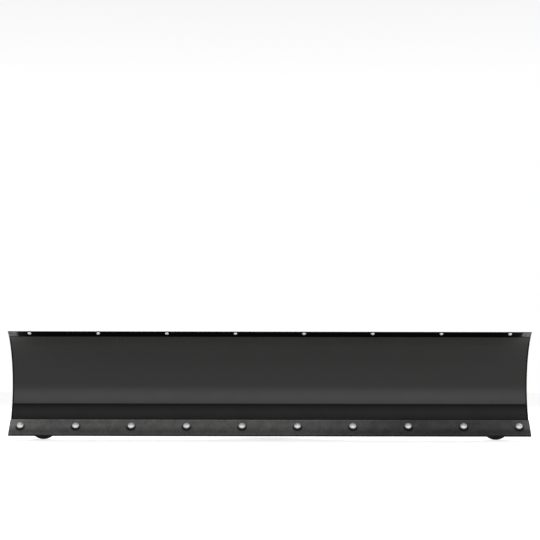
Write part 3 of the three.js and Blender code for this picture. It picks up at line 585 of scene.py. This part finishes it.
def add_skids():
    """A cast shoe shaped like a shallow bowl, on a post held up by a hairpin, and the bolt that sets
    the post in its bracket. The bowl's underside is part of a sphere."""
    bowl_radius, shoe_radius, shoe_low = 52, 46, -15
    hub_top, socket_r, socket_low = 21.5, 9.8, -3
    post_r, post_low, post_high = 9.5, -2.7, 196
    t = np.linspace(0, math.asin(shoe_radius / bowl_radius), 16)
    bowl = np.stack([bowl_radius * np.sin(t), shoe_low + bowl_radius * (1 - np.cos(t))], 1)
    rim = bowl[-1, 1]
    top = [[45.6, rim + 1.5], [44, rim + 2.8], [41, rim + 3.2], [22, rim + 4.4], [18.6, rim + 5.6],
           [16.4, rim + 8], [15.4, hub_top - 0.7], [14.4, hub_top]]
    socket = [[socket_r, hub_top], [socket_r, socket_low], [0, socket_low]]
    post = [[0, post_low], [post_r, post_low], [post_r, post_high - 3.4], [9.0, post_high - 1.4],
            [7.4, post_high], [0, post_high]]

    def make(side, sign):
        body = f"skid_{side}"
        place = np.array([SKID_X * sign, SKID_Y, 0])
        shoe = turned(np.vstack([bowl, top, socket]), UP, place, 56)
        put(f"skid_shoe_{side}_cast", [shoe], CAST, body, [f"skid_shoe_{side}"])
        put(f"skid_post_{side}_round", [turned(post, UP, place, 36)], ZINC, body, [f"skid_post_{side}"])
        clip = hairpin(place + (0, 0, KEEPER_UP), (1, 0, 0), (0, 1, 0), length=30, gap=12.4, wire=2.0)
        put(f"skid_keeper_{side}_hairpin", [clip], SPRING, body, [f"skid_keeper_{side}"])
        place_set = place + (0, 0, SET_BOLT_UP)
        surfaces = [
            threaded(5, 1.5, 10, 31, (0, 1, 0), place_set, 20),
            hexagon(9.5, 16.3, 22, (0, 1, 0), place_set),
            hexagon(9.5, 31, 38, (0, 1, 0), place_set),
        ]
        put(f"skid_set_bolt_{side}_hex", surfaces, ZINC, "blade", [f"skid_set_bolt_{side}"])
    both_sides(make)


# ---------------------------------------------------------------- the swivel and the push head

def add_beam():
    """Rectangular tube with rounded corners, open at both ends."""
    def outline(inset, radius):
        y0, y1 = BEAM_Y + inset, BEAM_Y + BEAM_DEPTH - inset
        z0, z1 = TRIP_Z - BEAM_HEIGHT / 2 + inset, TRIP_Z + BEAM_HEIGHT / 2 - inset
        return rounded([[y0, z0], [y1, z0], [y1, z1], [y0, z1]], [radius] * 4, 7)

    outer, inner = outline(0, 6), outline(BEAM_WALL, 2.5)
    stations = ((-BEAM_HALF, outer), (BEAM_HALF, outer), (BEAM_HALF, inner), (-BEAM_HALF, inner))
    rings = [np.column_stack([np.full(len(line), x), line]) for x, line in stations]
    put("swivel_beam_tube", [tube_of(np.array(rings), closed=True)], PAINT, "swivel", ["swivel_beam"])


def add_king_bolt():
    """The bolt that the blade swivels on: a washer-faced hex head on top and a nut below."""
    place = np.array([0, KING_Y, 0])
    shank, corner = 12.5, 22
    top, bottom = HEAD_TOP, HEAD_BOTTOM
    face = [[0, top], [corner - 0.5, top], [corner, top + 0.4], [corner, top + 1.6],
            [corner - 0.5, top + 2], [0, top + 2]]
    bolt = [
        turned([[0, bottom - 17], [shank, bottom - 17], [shank, top + 1], [0, top + 1]], UP, place, 36),
        turned(face, UP, place, 40),
        hexagon(corner - 0.5, top + 1.8, top + 14, UP, place),
        threaded(shank, 2.5, bottom - 22, bottom - 16.5, UP, place, 28),
    ]
    put("king_bolt_hex", bolt, ZINC, "head", ["king_bolt"])
    nut = hexagon(corner, bottom - 18, bottom, UP, place)
    put("king_nut_hex", [nut], ZINC, "head", ["king_nut"])


def add_latch():
    """A spring-loaded pin in its housing, with a cross handle."""
    place = np.array([0, LATCH_Y, 0])
    low, high = HEAD_TOP, HEAD_TOP + HOUSING_HEIGHT
    inner = high - 6
    housing = turned([[8.4, high], [8.4, inner], [13, inner], [13, low], [17.2, low], [18, low + 0.8],
                      [18, high - 1.2], [16.8, high]], UP, place, 40, closed=True)
    put("latch_housing_tube", [housing], PAINT, "head", ["latch_housing"])
    pin_r, collar_r, tip, end = 8, 12, 102.0, high + 30
    collar = low + 16.7
    grip = 40  # half the cross handle's length
    shaft = [[0, tip], [6, tip], [pin_r, tip + 2], [pin_r, collar], [collar_r, collar],
             [collar_r, collar + 4], [pin_r, collar + 4], [pin_r, end - 1.4], [6.8, end], [0, end]]
    handle = [[0, -grip], [3.6, -grip], [5, 1.4 - grip], [5, grip - 1.4], [3.6, grip], [0, grip]]
    pin = [turned(shaft, UP, place, 36), turned(handle, (1, 0, 0), place + (0, 0, end - 8), 24)]
    put("latch_pin_handled", pin, ZINC, "latch", ["latch_pin"])


# ---------------------------------------------------------------- materials

def node(tree, kind, settings=None, **links):
    """Adds a node. Settings are its own properties. A link's value is a number, a colour or a socket."""
    made = tree.nodes.new(kind)
    for name, value in (settings or {}).items():
        setattr(made, name, value)
    for name, value in links.items():
        socket = made.inputs[int(name[1:])] if name[0] == "i" and name[1:].isdigit() else made.inputs[name]
        if isinstance(value, bpy.types.NodeSocket):
            tree.links.new(value, socket)
        else:
            socket.default_value = value
    return made


def ramp(tree, factor, *stops):
    """A colour ramp from (place, colour or grey) stops."""
    made = node(tree, "ShaderNodeValToRGB", Fac=factor)
    elements = made.color_ramp.elements
    while len(elements) < len(stops):
        elements.new(0.5)
    for element, (place, value) in zip(elements, stops):
        element.position = place
        element.color = linear(value) if isinstance(value, str) else (value, value, value, 1)
    return made.outputs["Color"]


def new_material(name, **shader):
    """A material with its Principled shader, whose sockets take the given constant values."""
    material = bpy.data.materials.new(name)
    material.use_nodes = True
    tree = material.node_tree
    tree.nodes.clear()
    principled = node(tree, "ShaderNodeBsdfPrincipled")
    for socket, value in shader.items():
        principled.inputs[socket.replace("_", " ")].default_value = value
    node(tree, "ShaderNodeOutputMaterial", Surface=principled.outputs["BSDF"])
    place = node(tree, "ShaderNodeTexCoord").outputs["Object"]
    return material, tree, principled, place


def noise(tree, place, size_mm, detail=4.0, roughness=0.5, stretch=None):
    """Fractal noise whose coarsest grain is size_mm across, stretched along an axis if asked."""
    if stretch:
        place = node(tree, "ShaderNodeMapping", Vector=place, Scale=stretch).outputs["Vector"]
    made = node(tree, "ShaderNodeTexNoise", Vector=place, Scale=1 / (size_mm * MM),
                Detail=detail, Roughness=roughness)
    return made.outputs["Fac"]


def between(tree, value, low, high):
    """0 below low, 1 above high, and a straight rise between them."""
    return node(tree, "ShaderNodeMapRange", Value=value, i1=low, i2=high).outputs["Result"]


def calculated(tree, operation, *values):
    """A maths node's result."""
    inputs = {f"i{i}": value for i, value in enumerate(values)}
    return node(tree, "ShaderNodeMath", {"operation": operation}, **inputs).outputs[0]


def bump(tree, principled, height, distance_mm, strength):
    """Roughens a shader's surface by a height that is at most distance_mm."""
    made = node(tree, "ShaderNodeBump", Height=height, Distance=distance_mm * MM, Strength=strength)
    tree.links.new(made.outputs["Normal"], principled.inputs["Normal"])


def mixed(tree, factor, low, high, blend="MIX"):
    """Colours low and high mixed by a factor."""
    made = node(tree, "ShaderNodeMix", {"data_type": "RGBA", "blend_type": blend})
    for socket, value in ((0, factor), (6, low), (7, high)):
        if isinstance(value, bpy.types.NodeSocket):
            tree.links.new(value, made.inputs[socket])
        else:
            made.inputs[socket].default_value = value
    return made.outputs[2]


# The moldboard's face, in mm from the lip's tip: colour with painted light and shade, then share of gloss.
# The lip is near black. Painted light lightens the arc toward its top, near its lower end and on the flat
# below the bend. A line of painted shade sits in the lower bend at 290.5 mm, where the gloss dips with it,
# and painted shade darkens the face just above the wear bar.
FACE_LENGTH = 421.0
FACE_COLOUR_AND_PAINTED_LIGHT = ((27, "#040404"), (30, "#2b2b29"), (60, "#1e1d1c"), (110, "#131312"), (224, "#0f0f0e"),
              (286, "#1e1e1d"), (290.5, "#040404"), (297, "#0e0e0e"), (303, "#161616"), (320, "#1f1f1f"),
              (349, "#101010"))
FACE_GLOSS = ((27, 0.1), (30, 0.5), (287, 0.5), (290.5, 0.12), (298, 0.36), (305, 0.46), (325, 0.5))


def moldboard_colour_and_painted_light(tree, place):
    """The colour with its painted light and shade, and the share of gloss on the moldboard: bands down its
    face, painted highlights greying the lip's corners and painted shade darkening the blade's ends."""
    down = node(tree, "ShaderNodeAttribute", {"attribute_name": "from_tip"}).outputs["Fac"]
    share = calculated(tree, "DIVIDE", down, FACE_LENGTH)
    # The colour down the face, with its painted light and shade.
    dust_and_painted_light = ramp(tree, share, *[(mm / FACE_LENGTH, colour) for mm, colour in FACE_COLOUR_AND_PAINTED_LIGHT])
    level = ramp(tree, share, *[(mm / FACE_LENGTH, value) for mm, value in FACE_GLOSS])
    out = calculated(tree, "ABSOLUTE", node(tree, "ShaderNodeSeparateXYZ", Vector=place).outputs["X"])
    in_lip = calculated(tree, "SUBTRACT", 1.0, between(tree, down, 22, 27))
    # The grey at the lip's corners is a painted highlight, broken up by noise.
    painted_glint_mottle = ramp(tree, noise(tree, place, 9, 4, 0.6), (0.35, 0.35), (0.65, 1.0))
    corner = calculated(tree, "MULTIPLY", between(tree, out, (HALF - 36) * MM, (HALF - 26) * MM), in_lip)
    dust_and_painted_light = mixed(tree, calculated(tree, "MULTIPLY", corner, painted_glint_mottle), dust_and_painted_light, linear("#74746f"))
    # Painted shade along both ends of the blade, in the colour and in the gloss.
    end = between(tree, out, (HALF - 7) * MM, (HALF - 4) * MM)
    painted_end_shade = calculated(tree, "MULTIPLY", end, between(tree, down, 27, 60))
    dust_and_painted_light = mixed(tree, painted_end_shade, dust_and_painted_light, linear("#050505"))
    level = mixed(tree, painted_end_shade, level, (0.1, 0.1, 0.1, 1))
    return dust_and_painted_light, level


def black_powder_coat(name, moldboard=False):
    """Polyester powder coat baked on sheet steel: a charcoal-black film with a faint orange peel of a few
    millimetres, slightly uneven gloss, dry dust in soft clouds, and a sheet that is never quite flat.
    On the moldboard the lip is flat black, painted light greys both ends of the arc, and painted shade
    lines the lower bend and darkens the face just above the wear bar."""
    material, tree, shader, place = new_material(name, IOR=1.39)
    clouds = noise(tree, place, 160, 5, 0.55)
    gloss = ramp(tree, noise(tree, place, 70, 6, 0.6), (0.3, 0.27), (0.75, 0.33))
    if moldboard:
        dust_and_painted_light, level = moldboard_colour_and_painted_light(tree, place)
        tree.links.new(level, shader.inputs["Specular IOR Level"])
    else:
        dust_and_painted_light = ramp(tree, clouds, (0.35, "#232321"), (0.75, "#2a2a28"))
    shade = ramp(tree, clouds, (0.3, 0.86), (0.8, 1.0))
    colour = mixed(tree, 1.0, dust_and_painted_light, shade, "MULTIPLY")
    tree.links.new(colour, shader.inputs["Base Color"])
    tree.links.new(gloss, shader.inputs["Roughness"])
    rounded_edges = node(tree, "ShaderNodeBevel", {"samples": 4}, Radius=0.8 * MM).outputs["Normal"]
    sheet = node(tree, "ShaderNodeBump", Height=noise(tree, place, 420, 2), Distance=1.5 * MM, Strength=1.0,
                 Normal=rounded_edges)
    film = node(tree, "ShaderNodeBump", Height=noise(tree, place, 4, 2), Distance=0.02 * MM, Strength=0.35,
                Normal=sheet.outputs["Normal"])
    tree.links.new(film.outputs["Normal"], shader.inputs["Normal"])
    return material


def bolt_distance(tree, x, up):
    """How far a point on the wear bar is from the middle of the nearest bolt's painted shadow, which
    hangs 7 mm below the bolt. x is in metres and up, the way up the bar, in mm."""
    pitch = (2 * HALF - 2 * WEAR_BOLT_INSET) / (WEAR_BOLT_COUNT - 1) * MM
    first = (-HALF + WEAR_BOLT_INSET) * MM
    nearest = calculated(tree, "WRAP", x, first + pitch / 2, first - pitch / 2)
    beside = calculated(tree, "SUBTRACT", nearest, first)
    above = calculated(tree, "MULTIPLY_ADD", up, MM, -(WEAR_BOLT_UP - 7) * MM)
    squares = [calculated(tree, "POWER", value, 2.0) for value in (beside, above)]
    return calculated(tree, "SQRT", calculated(tree, "ADD", *squares))


def worn_wear_steel():
    """Hot-rolled bar scoured by gravel: dull grey metal in soft mottles a few centimetres across, painted
    light growing toward the top with a painted highlight on the top edge, painted shade on the bottom edge
    and a slightly darker painted band above the cutting edge, darker toward the left end, fine upright
    scratches and a painted shadow round and under each bolt head."""
    material, tree, shader, place = new_material("worn_wear_steel", Metallic=0.8)
    up = node(tree, "ShaderNodeAttribute", {"attribute_name": "up_bar"}).outputs["Fac"]
    share = calculated(tree, "DIVIDE", up, float(BAR_WIDTH))
    # The bar's grey with painted light and shade: painted shade on the bottom edge, lighter toward the top,
    # and a painted highlight on the top edge.
    bar_grey_and_painted_light = ramp(tree, share, (0.0, "#161616"), (0.025, "#6c6c6b"), (0.15, "#626261"), (0.27, "#676766"),
                 (0.40, "#767675"), (0.60, "#888887"), (0.90, "#8c8c8b"), (0.97, "#a4a4a2"))
    mottle = ramp(tree, noise(tree, place, 34, 6, 0.6), (0.3, 0.72), (0.7, 1.0))
    scrapes = ramp(tree, noise(tree, place, 6, 4, 0.55, stretch=(1, 0.3, 0.3)), (0.35, 0.82), (0.65, 1.0))
    x = node(tree, "ShaderNodeSeparateXYZ", Vector=place).outputs["X"]
    # Darker toward the left end, with noise in where the darkening starts.
    drift = calculated(tree, "MULTIPLY_ADD", noise(tree, place, 180, 3), 0.5, x)
    leftward_darkening = ramp(tree, drift, (0.35, 1.0), (0.75, 0.55))
    # A painted shadow round each bolt head, centred 7 mm below it.
    away = calculated(tree, "DIVIDE", bolt_distance(tree, x, up), 24 * MM)
    painted_bolt_shadow = ramp(tree, away, (0.55, 0.12), (0.85, 1.0))
    colour = bar_grey_and_painted_light
    for layer in (mottle, scrapes, leftward_darkening, painted_bolt_shadow):
        colour = mixed(tree, 1.0, colour, layer, "MULTIPLY")
    tree.links.new(colour, shader.inputs["Base Color"])
    dull = ramp(tree, noise(tree, place, 22, 5), (0.3, 0.66), (0.7, 0.5))
    tree.links.new(dull, shader.inputs["Roughness"])
    bump(tree, shader, noise(tree, place, 5, 5, 0.6, stretch=(1, 0.35, 0.35)), 0.2, 0.45)
    return material


def zinc_plate():
    """Barrel-plated zinc on bolts and pins: blue-white, cloudy and nearly matt where it has begun to
    chalk, with fine pits."""
    material, tree, shader, place = new_material("zinc_plate", Metallic=0.55)
    clouds = noise(tree, place, 5, 4, 0.6)
    tree.links.new(ramp(tree, clouds, (0.35, "#c9cacb"), (0.7, "#e6e6e5")), shader.inputs["Base Color"])
    tree.links.new(ramp(tree, clouds, (0.3, 0.40), (0.7, 0.52)), shader.inputs["Roughness"])
    bump(tree, shader, noise(tree, place, 1.2, 3), 0.03, 0.4)
    return material


def oiled_spring_steel():
    """Oil-tempered spring wire: dark grey with a blue-black bloom, drawn smooth, faint die lines."""
    material, tree, shader, place = new_material("oiled_spring_steel", Metallic=0.9)
    bloom = noise(tree, place, 9, 4)
    tree.links.new(ramp(tree, bloom, (0.35, "#2a2b2e"), (0.7, "#47484b")), shader.inputs["Base Color"])
    tree.links.new(ramp(tree, bloom, (0.3, 0.3), (0.7, 0.45)), shader.inputs["Roughness"])
    bump(tree, shader, noise(tree, place, 1.0, 3), 0.02, 0.4)
    return material


def painted_cast_iron():
    """Sand-cast iron under black paint: a pebbled skin of about 2 mm, rubbed duller where it slides."""
    material, tree, shader, place = new_material("painted_cast_iron", Specular_IOR_Level=0.06)
    pebbles = noise(tree, place, 2.2, 3, 0.6)
    rubbed = noise(tree, place, 25, 4)
    tree.links.new(ramp(tree, rubbed, (0.4, "#050505"), (0.75, "#0e0e0e")), shader.inputs["Base Color"])
    tree.links.new(ramp(tree, rubbed, (0.3, 0.62), (0.7, 0.82)), shader.inputs["Roughness"])
    bump(tree, shader, pebbles, 0.25, 0.6)
    return material


def plain_bronze():
    """Turned bearing bronze: warm brown with fine turning marks and a dull film of grease."""
    material, tree, shader, place = new_material("plain_bronze", Metallic=1.0)
    film = noise(tree, place, 8, 4)
    tree.links.new(ramp(tree, film, (0.35, "#6e5230"), (0.7, "#9a7747")), shader.inputs["Base Color"])
    tree.links.new(ramp(tree, film, (0.3, 0.35), (0.7, 0.5)), shader.inputs["Roughness"])
    bump(tree, shader, noise(tree, place, 1.0, 2), 0.02, 0.4)
    return material


PAINT = black_powder_coat("black_powder_coat")
PAINT_BLADE = black_powder_coat("black_powder_coat_blade", moldboard=True)
WELD = black_powder_coat("painted_weld")
WEAR_STEEL = worn_wear_steel()
ZINC = zinc_plate()
SPRING = oiled_spring_steel()
CAST = painted_cast_iron()
FINISHES = {
    "black_powder_coat": PAINT,
    "worn_steel": WEAR_STEEL,
    "zinc_plate": ZINC,
    "spring_steel": SPRING,
    "black_cast_iron": CAST,
    "bronze": plain_bronze(),
}
for part in frame["record"]["subparts"]:
    materials = frame["nodes"][part["node"]].data.materials
    materials.clear()
    materials.append(FINISHES[part["material_slot"]])

# ---------------------------------------------------------------- the object

add_moldboard()
add_wear_bar()
add_wear_bolts()
add_lip_bolts()
add_welds()
add_trip_pins()
add_spring_bolts()
add_trip_springs()
add_skids()
add_beam()
add_king_bolt()
add_latch()

# ---------------------------------------------------------------- camera, floor and lights

CAMERA_DISTANCE = 5.2  # from the lip
EYE_HEIGHT = CUT_Z + 182 * MM
CAMERA_X = 0.9 * MM
CAMERA_ROLL = math.radians(-0.1)
LENS, SENSOR = 99.35, 36
FRAME_SHIFT = 0.2121  # raises the frame over the blade, in frame widths
FLOOR_SIZE = 60
SOFTBOX_WIDTH = 8


def add_camera():
    """A long lens set level in front of the blade, at the middle of its height."""
    data = bpy.data.cameras.new("camera")
    data.lens = LENS
    data.sensor_width = SENSOR
    data.shift_y = FRAME_SHIFT
    camera = bpy.data.objects.new("camera", data)
    bpy.context.collection.objects.link(camera)
    camera.location = (CAMERA_X, FRONT_Y - CAMERA_DISTANCE, EYE_HEIGHT)
    camera.rotation_euler = (math.pi / 2, CAMERA_ROLL, 0)
    bpy.context.scene.camera = camera


def add_floor():
    """A pale floor that runs far back under the horizon."""
    material, tree, shader, place = new_material("pale_floor", Roughness=0.9, Specular_IOR_Level=0.1,
                                                 Emission_Strength=0.66)
    shader.inputs["Emission Color"].default_value = (1, 1, 1, 1)
    tree.links.new(ramp(tree, noise(tree, place, 900), (0.3, "#cbcbcb"), (0.7, "#d0d0d0")),
                   shader.inputs["Base Color"])
    bpy.ops.mesh.primitive_plane_add(size=FLOOR_SIZE, location=(0, 0, FLOOR_Z))
    floor = bpy.context.object
    floor.name = "floor"
    floor.data.materials.append(material)


def add_light(name, place, aim, height, radiance):
    """A softbox: its power is radiance times pi times its area."""
    data = bpy.data.lights.new(name, "AREA")
    data.shape = "RECTANGLE"
    data.size = SOFTBOX_WIDTH
    data.size_y = height
    data.energy = radiance * math.pi * SOFTBOX_WIDTH * height
    light = bpy.data.objects.new(name, data)
    bpy.context.collection.objects.link(light)
    light.location = place
    light.rotation_euler = (Vector(aim) - Vector(place)).to_track_quat("-Z", "Y").to_euler()


def add_studio():
    """A white sky that is darker high up, and a softbox in front, above and behind."""
    studio = bpy.data.worlds.new("studio")
    studio.use_nodes = True
    bpy.context.scene.world = studio
    tree = studio.node_tree
    direction = node(tree, "ShaderNodeTexCoord").outputs["Generated"]
    height = node(tree, "ShaderNodeSeparateXYZ", Vector=direction).outputs["Z"]
    sky = ramp(tree, height, (0.0, 1.0), (0.2, 1.0), (0.72, 0.25), (0.92, 0.25), (1.0, 0.55))
    tree.links.new(sky, tree.nodes["Background"].inputs["Color"])
    add_light("front_softbox", (0, -6.4, 2.4), (0, FRONT_Y, 0.1), height=3.2, radiance=1.55)
    add_light("top_softbox", (0, 2.0, 4.5), (0, 0, 0), height=4, radiance=2.0)
    add_light("rear_softbox", (0, 6.4, 2.4), (0, 0, 0.1), height=3.2, radiance=1.4)
    bpy.context.scene.view_settings.view_transform = "Standard"


add_camera()
add_floor()
add_studio()
